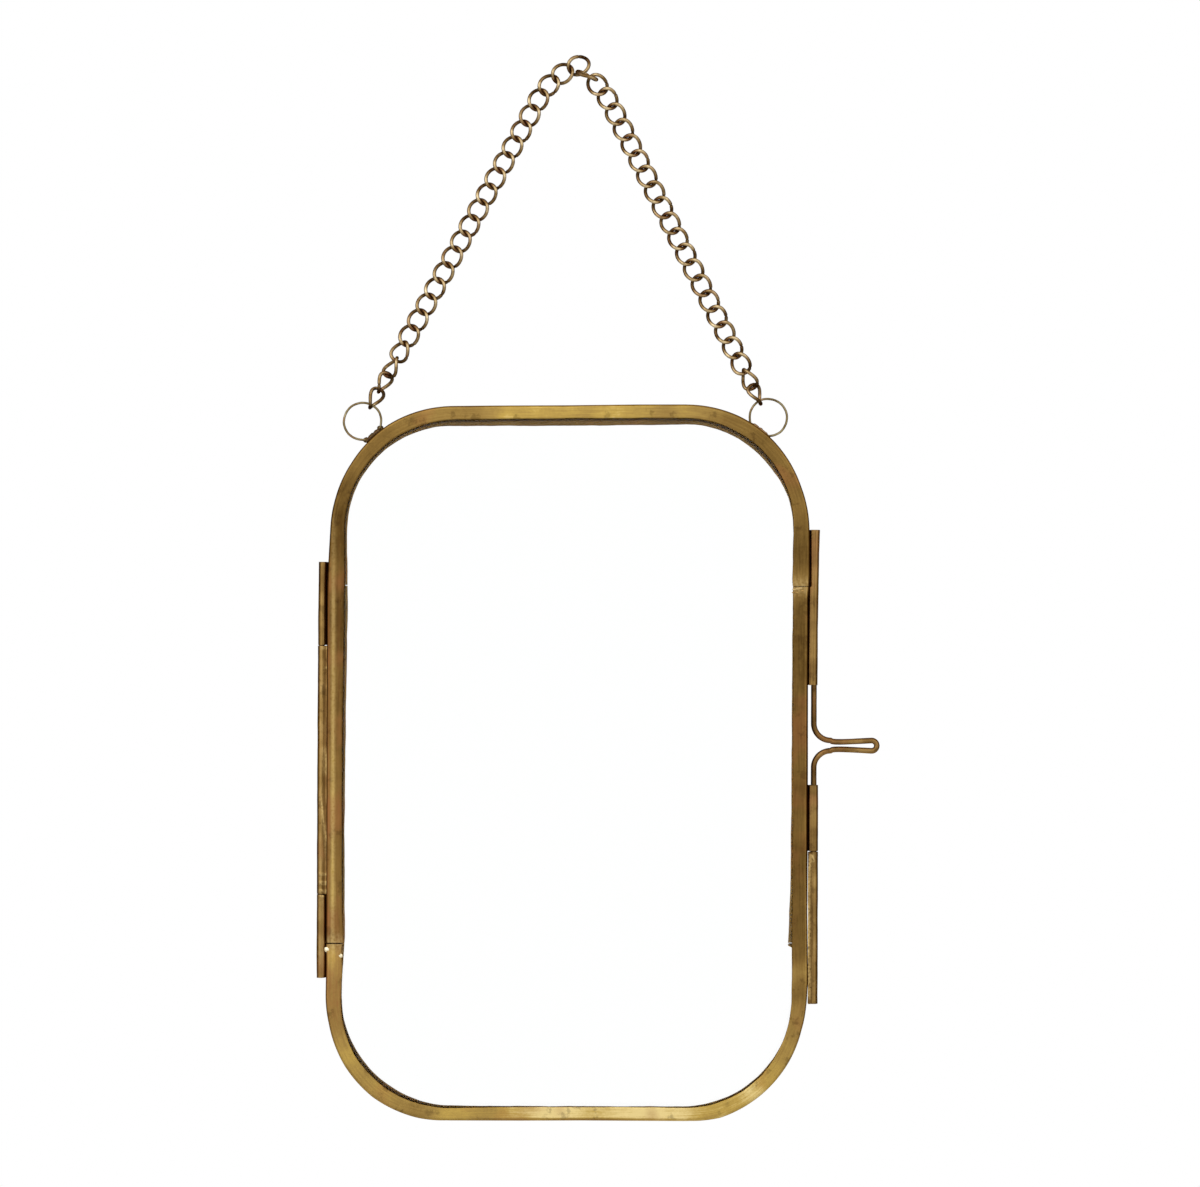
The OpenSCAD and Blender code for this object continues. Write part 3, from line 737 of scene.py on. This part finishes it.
# The hinge pin and the latch's hairpin
# Both are drawn brass rod. The hairpin is bent cold: a leg in the upper guide, a narrow finger loop
# pinched until its two runs almost touch, and a leg through the lower guide into the keeper.
ROD_R = 0.85 * mm
LOOP_PITCH = 3 * mm
LOOP_BEND_R = 4.9 * mm
LOOP_DROP = 16.2 * mm
PINCH = 0.42 * mm
LEG_STATION = 0.8 * mm
LEAST_STEP = 0.02 * mm
ROD_COLS = 24
ROD_COLOURS = [
    (0, (66, 42, 18)), (1, (222, 192, 132)), (0.25, (104, 78, 40)), (0.5, (138, 106, 60)),
    (0.75, (170, 138, 84)),
]
PIN_COLOURS = [(0, (58, 38, 18)), (1, (150, 116, 70))]
rod_brass = aged_brass("rod_brass", ROD_COLOURS, streak=(5, 0.8), blotch=5, copper=(142, 92, 58),
                       rough=0.3)


def unit(vectors):
    """The same vectors, of length one."""
    return vectors / np.linalg.norm(vectors, axis=-1, keepdims=True)


def swept(points, sideways, radius, cols, closed=False, **marks):
    """A round bar along a line of points. sideways holds a unit vector square to the line at each
    point, and the other way round the bar is square to both."""
    ahead = np.roll(points, -1, 0) - np.roll(points, 1, 0) if closed else np.gradient(points, axis=0)
    other = np.cross(unit(ahead), sideways)
    turn = np.arange(cols) * 2 * np.pi / cols
    ring = np.cos(turn)[None, :, None] * sideways[:, None] + np.sin(turn)[None, :, None] * other[:, None]
    grid = points[:, None] + np.broadcast_to(radius, (len(points), cols))[..., None] * ring
    steps = np.linalg.norm(np.diff(points, axis=0), axis=1)
    along = np.append(0, np.cumsum(steps))
    if closed:
        along = np.append(along, along[-1] + steps[-1])
    around = np.linspace(0, 2 * np.pi * np.mean(radius), cols + 1)
    ends = "open" if closed else "flat"
    return shell(grid, rows_close=closed, ends=ends, along=along, around=around, **marks)


def hairpin_line():
    """Points down the hairpin, in its own plane: straights and arcs, with the two runs bowed
    towards each other by the pinch."""
    low, high = corners("latch_hairpin")
    leg_x = low[0] + ROD_R
    nose_r = LOOP_PITCH / 2
    upper_run = corners("latch_guide_upper")[0][2] - LOOP_DROP
    middle = upper_run - nose_r
    nose_x = high[0] - ROD_R - nose_r
    quarter = np.linspace(0, np.pi / 2, 20)
    half = np.linspace(0, np.pi, 30)
    leg = np.arange(high[2], upper_run + LOOP_BEND_R, -LEG_STATION)
    run = np.linspace(leg_x + LOOP_BEND_R, nose_x, 30)
    bow = PINCH * np.sin(np.pi * np.linspace(0, 1, 30) ** 0.45)
    bend_x = leg_x + LOOP_BEND_R * (1 - np.cos(quarter))
    bend_z = upper_run + LOOP_BEND_R * (1 - np.sin(quarter))
    lower_leg = np.arange(low[2], middle - nose_r - LOOP_BEND_R, LEG_STATION)[::-1]
    x = np.concatenate([0 * leg + leg_x, bend_x, run, nose_x + nose_r * np.sin(half),
                        run[::-1], bend_x[::-1], 0 * lower_leg + leg_x])
    z = np.concatenate([leg, bend_z, upper_run - bow, middle + nose_r * np.cos(half),
                        2 * middle - (upper_run - bow)[::-1], 2 * middle - bend_z[::-1], lower_leg])
    line = np.stack([x, 0 * x + (low[1] + high[1]) / 2, z], -1)
    keep = np.append(True, np.linalg.norm(np.diff(line, axis=0), axis=1) > LEAST_STEP)
    return line[keep]


# The rod's ends are broken down, and outside the tubes it is brighter and slightly uneven; inside them it
# is darker.
line = hairpin_line()
ends = np.minimum(np.arange(len(line)), np.arange(len(line))[::-1])
uneven = 0.012 * (1 + wander(line.sum(1), 9 * mm, 7)) * (ends > 12)
rod_radius = ROD_R * (0.99 - 0.25 * (ends == 0) - uneven)
out_of_tubes = np.clip((line[:, 0] - line[0, 0]) / (2 * mm), 0, 1)
hairpin = build("hairpin", [swept(
    line, np.tile([0, 1, 0], (len(line), 1)), rod_radius[:, None], ROD_COLS,
    tone=(0.36 + 0.14 * out_of_tubes + 0.12 * wander(line.sum(1), 14 * mm, 5))[:, None],
    grime=(0.25 - 0.2 * out_of_tubes)[:, None],
)], rod_brass)
place(hairpin, "latch", "latch_hairpin", "rod_brass")

pin_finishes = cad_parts["hinge_pin"].data.materials
pin_finishes.clear()
pin_finishes.append(aged_brass("pin_brass", PIN_COLOURS, streak_most=0.1, blotch=4, rough=0.4))

# The two hanging rings
# Fine brass wire bent round and soldered by its two ends to the back leaf's corner. The solder is
# burnt dark on the left and left pale on the right.
RING_R = 5.5 * mm
RING_WIRE_R = 0.33 * mm
FOOT_LUMP = np.array([0.9, 0.7, 0.75]) * mm
LUMP_POLE = 0.04
RING_COLOURS = [
    (0, (74, 56, 32)), (1, (206, 192, 150)), (0.4, (122, 106, 70)), (0.7, (152, 140, 106)),
]
ring_brass = aged_brass("ring_brass", RING_COLOURS, streak=(4, 0.4), blotch=3, copper=(168, 118, 86),
                        tin=(206, 168, 120), grime=(64, 40, 20), rough=0.34)


def lump(centre, half_sizes, seed, **marks):
    """A lump of solder: a ball stretched to three half sizes and swelled by wandering waves."""
    rise = np.linspace(LUMP_POLE, np.pi - LUMP_POLE, 20)[:, None]
    turn = np.arange(28)[None] * 2 * np.pi / 28
    flat, up = np.sin(rise), np.cos(rise) + 0 * turn
    way = np.stack([flat * np.cos(turn), flat * np.sin(turn), up], -1)
    swell = 1 + 0.12 * wander(way @ [1.0, 2.0, 0.7], 2.2, seed)
    swell = swell + 0.08 * wander(way @ [-1.4, 0.5, 1.0], 1.1, seed + 1)
    return shell(centre + swell[..., None] * way * half_sizes, ends="flat", **marks)


def ring_centre(node, side):
    """The middle of a ring, which is the outermost thing on its node."""
    low, high = corners(node)
    outer_r = RING_R + RING_WIRE_R
    return np.array([low[0] + outer_r if side < 0 else high[0] - outer_r, 0, high[2] - outer_r])


def hanging_ring(node, side, solder_marks, inset, thickness, seed):
    """The wire's long arc from foot to foot, a lump at each foot and a run of solder between them
    that follows the corner. solder_marks are the marks of one foot at -1, of the run at 0 and of
    the other foot at 1. inset is how far inside the corner the run's middle lies, and thickness is
    its half thickness, in millimetres."""
    centre = ring_centre(node, side)
    corner_x = front_high[0] if side > 0 else front_low[0]
    corner = np.array([corner_x - side * CORNER_R, 0, front_high[2] - CORNER_R])
    inward = corner - centre
    reach = np.linalg.norm(inward)
    inward_turn = np.arctan2(inward[2], inward[0])
    foot = np.arccos((reach ** 2 + RING_R ** 2 - CORNER_R ** 2) / (2 * reach * RING_R))
    turn = np.linspace(inward_turn + foot - 0.04, inward_turn + 2 * np.pi - foot + 0.04, 110)
    spoke = in_plane(turn)
    wobble = 1 - 0.012 * (1 + wander(turn, 2.6, seed))
    wire = centre + RING_R * wobble[:, None] * spoke
    shells = [swept(wire, spoke, RING_WIRE_R, 14, tone=(0.5 + 0.2 * wander(turn, 1.6, seed))[:, None])]
    back_y = leaf_middle[1][1] - leaf_t / 4
    for end in (-1, 1):
        at = centre + RING_R * in_plane(inward_turn + end * foot) + [0, 0.6 * back_y, 0]
        shells.append(lump(at, FOOT_LUMP, seed + end, tone=0.4, **solder_marks[end]))
    sweep = np.linspace(-1, 1, 40)
    ring_turn = np.arctan2(-inward[2], -inward[0])
    spread = np.arcsin(RING_R * np.sin(foot) / CORNER_R)
    way = in_plane(ring_turn + sweep * spread)
    run = corner + (CORNER_R - inset * mm) * way + [0, back_y, 0]
    thick = (thickness + 0.12 * wander(sweep, 0.7, seed + 4) - 0.25 * sweep ** 8)[:, None] * mm
    shells.append(swept(run, way, thick, 16, tone=0.4, **solder_marks[0]))
    return build(f"{node}_wire", shells, ring_brass)


DARK = {"grime": 0.42}
PALE = {"copper": 0.35, "solder": 0.5}
PINK = {"copper": 0.6, "solder": 0.3}
for node, *ring_sizes in (
    ("left_hanging_ring", -1, {-1: DARK, 0: DARK, 1: DARK}, 0.3, 0.72, 211),
    ("right_hanging_ring", 1, {-1: PINK, 0: PALE, 1: PALE}, -0.5, 0.56, 223),
):
    place(hanging_ring(node, *ring_sizes), "back_leaf", node, "ring_wire")

# The chain
# Curb links: each is a wire oval, cut from a coil and twisted so that the chain lies flat, and
# closed with a butt joint that isn't soldered. The top link hangs on the nail, with a slack link on
# its right side, and an arm runs down from each to its ring.
LINK_LEN = 7.2 * mm
LINK_W = 6.24 * mm
LINK_WIRE = 0.92 * mm
WIRE_DRAWN = 1.06 * mm
LINK_TWIST = 0.85 * mm
LINK_GAP = 0.1 * mm
RING_LINK_GAP = 0.3 * mm
HOOK_TURN = np.radians(62)
LEFT_DRAPE_R = 22 * mm
RIGHT_DRAPE_R = 26 * mm
# Turns of the last links about the chain, from the ring up, and of the first link on the right
LEFT_END_TURNS = [120, 118, 55, 28]
RIGHT_END_TURNS = [120, 52, 16]
RIGHT_START_TURNS = [5]
TOP_TILT = 20
RIGHT_START_TILT = -48
SIDE_LINK_TILT = -22
SIDE_LINK_TURN = -78
SIDE_LINK_FRONT = 0.16 * mm
SIDE_LINK_TWIST = 0.25 * mm
# Places from the top link's middle, as shares of a link's length
SIDE_LINK_SHARES = np.array([0.333, -0.417])
RIGHT_START_SHARES = np.array([0.760, -0.785])
LINK_ROWS = 96
LINK_COLS = 12
# Where round a link its butt joint lies, and how far that varies, in degrees
BUTT_TURN = 62
BUTT_SPREAD = 30
CHAIN_COLOURS = [
    (0, (44, 24, 8)), (1, (234, 216, 176)), (0.22, (86, 60, 30)), (0.45, (136, 109, 68)),
    (0.7, (182, 158, 116)),
]
chain_brass = aged_brass("chain_brass", CHAIN_COLOURS, streak=(3, 0.6), blotch=2.6, blotch_most=0.2,
                         speck=0.5, copper=(146, 104, 76), grime=(42, 22, 7), rough=0.27)
half_len = (LINK_LEN - LINK_WIRE) / 2
half_w = (LINK_W - LINK_WIRE) / 2


def curb_link(x, z, tilt, turn, seed, front=0, twist=LINK_TWIST):
    """One link: its centre line runs round an oval and sways out of its plane twice each way. The link's
    length lies in the chain's plane at its tilt, and it turns about its length. The wire is notched at its
    butt joint, and worn bright along its flanks. Where it sways in front of its neighbours it has a painted
    highlight, and where it sways behind them painted shade."""
    lap = np.arange(LINK_ROWS) * 2 * np.pi / LINK_ROWS
    long = half_len - (WIRE_DRAWN - LINK_WIRE) / 2
    wide = half_w - (WIRE_DRAWN - LINK_WIRE) / 2
    line = np.stack([long * np.cos(lap), wide * np.sin(lap), -twist * np.sin(2 * lap)], -1)
    ahead = unit(np.stack([-long * np.sin(lap), wide * np.cos(lap), -2 * twist * np.cos(2 * lap)], -1))
    out = np.stack([np.cos(lap), np.sin(lap), 0 * lap], -1)
    out = unit(out - (out * ahead).sum(1)[:, None] * ahead)
    lean, roll = np.radians([tilt, turn])
    length_way = in_plane(lean)
    level_way = in_plane(lean + np.pi / 2)
    front_way = np.array([0, -1.0, 0])
    axes = np.stack([length_way, level_way * np.cos(roll) + front_way * np.sin(roll),
                     front_way * np.cos(roll) - level_way * np.sin(roll)])
    joint = np.radians(BUTT_TURN + BUTT_SPREAD * np.random.default_rng(seed).uniform(-1, 1))
    notch = 0.3 * bell(lap, joint, 0.05)
    radius = WIRE_DRAWN / 2 * (0.98 - notch - 0.01 * (1 + wander(lap, 2.1, seed)))
    flank = np.abs(np.sin(lap))
    over = -np.sin(2 * lap)
    # Painted highlight where the wire sways in front, painted shade where it sways behind its neighbours,
    # and a dark notch at the joint
    tone = 0.28 + 0.16 * flank + 0.34 * over.clip(0) + 0.16 * wander(lap, 2.5, seed + 1)
    grime = 0.75 * bell(over, -1, 0.8) * (1 - 0.6 * flank ** 3) + 1.5 * notch
    copper = 0.35 * bell(over, 0.1, 0.4) * (1 - flank)
    return swept(line @ axes + [x, -front, z], out @ axes, radius[:, None], LINK_COLS, closed=True,
                 tone=tone[:, None], grime=grime.clip(0, 0.9)[:, None], copper=copper[:, None])


def arm(start, tilt, way, bend_r, end):
    """Places and tilts along an arm, for a chain that bends away from its start on a circle and then
    runs straight to its end. way is 1 for a bend to the left on the way down, -1 to the right. The
    links take even steps of at most the pitch at which two links just clear each other."""
    start, end = np.array(start), np.array(end)
    centre = start + way * bend_r * np.array([-np.sin(tilt), np.cos(tilt)])
    to_end = end - centre
    distance = np.linalg.norm(to_end)
    leave = np.arctan2(to_end[1], to_end[0]) - way * np.arccos(bend_r / distance)
    sweep = (way * (leave - (tilt - way * np.pi / 2))) % (2 * np.pi)
    length = bend_r * sweep + np.sqrt(distance ** 2 - bend_r ** 2)
    count = int(np.ceil(length / (2 * half_len - LINK_WIRE - LINK_GAP)))
    along = length * np.arange(count + 1) / count
    tilts = tilt + way * np.minimum(along / bend_r, sweep)
    spare = np.maximum(along - bend_r * sweep, 0)
    x = centre[0] + way * bend_r * np.sin(tilts) + spare * np.cos(tilts)
    z = centre[1] - way * bend_r * np.cos(tilts) + spare * np.sin(tilts)
    return np.stack([x, z, np.degrees(tilts)], 1)


def end_link_at(node, side):
    """The last link of an arm hooks round its ring at the hook's turn."""
    x, _, z = ring_centre(node, side)
    reach = RING_R + half_len - LINK_WIRE / 2 - RING_WIRE_R - RING_LINK_GAP
    return x - side * reach * np.cos(HOOK_TURN), z + reach * np.sin(HOOK_TURN)


top_lean = np.radians(TOP_TILT)
top_rise = np.hypot(half_len * np.sin(top_lean), half_w * np.cos(top_lean))
top_aside = (half_len ** 2 - half_w ** 2) * np.sin(top_lean) * np.cos(top_lean) / top_rise
top_at = np.array([-top_aside, LINK_WIRE / 2 - top_rise])
side_at = top_at + SIDE_LINK_SHARES * LINK_LEN
right_at = top_at + RIGHT_START_SHARES * LINK_LEN
left_end = end_link_at("left_hanging_ring", -1)
right_end = end_link_at("right_hanging_ring", 1)
left_arm = arm(top_at, np.radians(180 + TOP_TILT), 1, LEFT_DRAPE_R, left_end)[1:]
right_arm = arm(right_at, np.radians(RIGHT_START_TILT), -1, RIGHT_DRAPE_R, right_end)


def with_turns(places, end_turns, start_turns=()):
    """Each place of an arm with its link's turn about the chain. Those between the first and the
    last ones have none."""
    turns = np.zeros(len(places))
    turns[: len(start_turns)] = start_turns
    turns[len(places) - len(end_turns):] = end_turns[::-1]
    return np.column_stack([places, turns])


left_links = with_turns(left_arm, LEFT_END_TURNS)
right_links = with_turns(right_arm, RIGHT_END_TURNS, RIGHT_START_TURNS)
chain_rows = {
    "chain_top_link": [[*top_at, TOP_TILT, 0]],
    "chain_side_link": [[*side_at, SIDE_LINK_TILT, SIDE_LINK_TURN]],
    "chain_links_left": left_links[: -len(LEFT_END_TURNS)],
    "chain_turned_links_left": left_links[-len(LEFT_END_TURNS): -1],
    "chain_end_link_left": left_links[-1:],
    "chain_links_right": right_links[:-2],
    "chain_turned_link_right": right_links[-2:-1],
    "chain_end_link_right": right_links[-1:],
}
for k, (node, links) in enumerate(chain_rows.items()):
    own = (SIDE_LINK_FRONT, SIDE_LINK_TWIST) if node == "chain_side_link" else (0, LINK_TWIST)
    wires = [curb_link(*link, 300 + 40 * k + j, *own) for j, link in enumerate(links)]
    place(build(f"{node}_wire", wires, chain_brass), "chain", node, "chain_wire")

# Solder at the front leaf's joints
# A thin bright line of solder closes the high joint on the right, slanting across the face, and two small
# beads stand at the low joint on the left, where the iron was lifted away. The beads' near-white colour is
# a painted glint.
SOLDER_AND_GLINT_COLOURS = [(0, (148, 116, 66)), (1, (252, 240, 204)), (0.5, (214, 182, 116))]
bead_solder_and_glint = aged_brass("bead_solder_and_glint", SOLDER_AND_GLINT_COLOURS, streak_most=0.05, blotch=2, blotch_most=0.1,
                         speck=0.4, rough=0.3)
# Place across and up, depth behind the face, three half sizes, tone and seed. The first two lumps' tone
# above one is a painted glint.
JOINT_LUMPS = [
    (-72.6, -259.6, 0.55, (0.8, 0.43, 0.75), 1.1, 63),
    (-68.7, -261.4, 0.37, (0.56, 0.3, 0.6), 1.1, 65),
    (62.7, -154.75, 0.33, (0.62, 0.25, 0.2), 0.6, 81),
    (63.6, -154.6, 0.33, (0.75, 0.27, 0.24), 0.6, 82),
    (64.5, -154.35, 0.33, (0.7, 0.26, 0.22), 0.6, 83),
    (63.2, -155.7, 0.35, (1.1, 0.28, 0.45), 0.05, 71),
    (65.1, -155.2, 0.35, (0.6, 0.27, 0.4), 0.05, 72),
    (64.0, -156.5, 0.35, (0.7, 0.26, 0.5), 0.05, 73),
]
lumps = []
for x, z, behind, half_sizes, tone, seed in JOINT_LUMPS:
    at = np.array([x * mm, front_low[1] + behind * mm, z * mm])
    lumps.append(lump(at, np.array(half_sizes) * mm, seed, tone=tone))
joint_solder = build("front_joint_solder", lumps, bead_solder_and_glint)
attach(joint_solder, "front_leaf")

# The floor and the light
# A plain pale floor lies well below the frame, as under something hung on a wall. Large soft lamps
# and an even white sky light it, and what lies behind it is white.
FLOOR_DROP = 1.3
FLOOR_HALF = 3.0
FLOOR_WHITE = 0.85


def floor_material():
    """Pale and plain. Most of what the camera and the glass see of it is plain white, and the rest
    is lit, so it keeps the object's shadow."""
    material, surface, shading = new_finish("pale_floor")
    shading.feed(surface, {"Base Color": (0.9, 0.9, 0.9, 1), "Roughness": 0.9})
    rays = shading.add("ShaderNodeLightPath").outputs
    seen = shading.sums("MAXIMUM", rays["Is Camera Ray"], rays["Is Transmission Ray"])
    white = shading.add("ShaderNodeEmission").outputs["Emission"]
    layers = {0: shading.sums("MULTIPLY", seen, FLOOR_WHITE), 1: surface.outputs["BSDF"], 2: white}
    mixed = shading.add("ShaderNodeMixShader", layers).outputs["Shader"]
    shading.feed(shading.tree.nodes["Material Output"], {"Surface": mixed})
    return material


def add_floor():
    """A square plate at the floor's height."""
    mesh = bpy.data.meshes.new("floor")
    side = np.array([[-1, -1], [1, -1], [1, 1], [-1, 1]]) * FLOOR_HALF
    mesh.from_pydata(np.column_stack([side, np.full(4, -FLOOR_DROP)]), [], [(0, 1, 2, 3)])
    mesh.materials.append(floor_material())
    add_object("floor", mesh)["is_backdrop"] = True


add_floor()

SKY_LEVEL = 0.7
SKY_FRONT = 1.0
SKY_SIDE = 0.4
SKY_BEHIND = 0.1
SKY_TOP = 0.2
SKY_WARM = (1, 0.76, 0.5, 1)


def add_sky():
    """White to the camera and through glass, and an even grey to the rest. Brass sees a bright
    front, darker sides and the dark studio behind."""
    world = bpy.data.worlds.new("studio")
    bpy.context.scene.world = world
    world.use_nodes = True
    world.node_tree.nodes.clear()
    sky = Shading(world.node_tree)

    def choose(amount, one, two):
        """From one value to another, as the amount goes from nothing to one."""
        return sky.add("ShaderNodeMix", {0: amount, 2: one, 3: two}, data_type="FLOAT").outputs[0]

    way = sky.add("ShaderNodeTexCoord").outputs["Generated"]
    split = sky.add("ShaderNodeSeparateXYZ", {0: way}).outputs
    front = sky.spread(split["Y"], -0.93, -0.15, SKY_FRONT, SKY_SIDE)
    around = choose(sky.spread(split["Y"], -0.15, 0.5), front, SKY_BEHIND)
    around = sky.sums("ADD", around, sky.spread(split["Z"], 0.15, 0.8, 0, SKY_TOP))
    rays = sky.add("ShaderNodeLightPath").outputs
    seen = sky.sums("MAXIMUM", rays["Is Camera Ray"], rays["Is Transmission Ray"])
    level = choose(rays["Is Glossy Ray"], SKY_LEVEL, around)
    off_front = sky.spread(split["Y"], -0.9, 0.2)
    warmth = sky.sums("MULTIPLY", off_front, choose(seen, rays["Is Glossy Ray"], 0.0))
    tint = sky.add("ShaderNodeMix", {0: warmth, 6: (1, 1, 1, 1), 7: SKY_WARM}, data_type="RGBA")
    white = {"Color": tint.outputs[2], "Strength": choose(seen, level, 1.0)}
    background = sky.add("ShaderNodeBackground", white).outputs["Background"]
    sky.add("ShaderNodeOutputWorld", {"Surface": background})


add_sky()


def add_lamp(name, at, target, size, power):
    """A square soft lamp at a place, turned to face its target."""
    lamp = add_object(name, bpy.data.lights.new(name, "AREA"))
    lamp.data.size = size
    lamp.data.energy = power
    away = unit(np.array(at) - target)
    level = unit(np.cross([0, 0, 1], away))
    aim(lamp, level, np.cross(away, level), away, at)


add_lamp("left_softbox", (-1.0, -1.3, 0.5), leaf_middle[-1], 2.0, 11)
add_lamp("right_softbox", (1.2, -1.2, 0.2), leaf_middle[-1], 1.6, 5)

bpy.context.scene.view_settings.view_transform = "Standard"

boxes = {"cad": cad_box, "visual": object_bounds()}
{name: [list(corner) for corner in box] for name, box in boxes.items()}
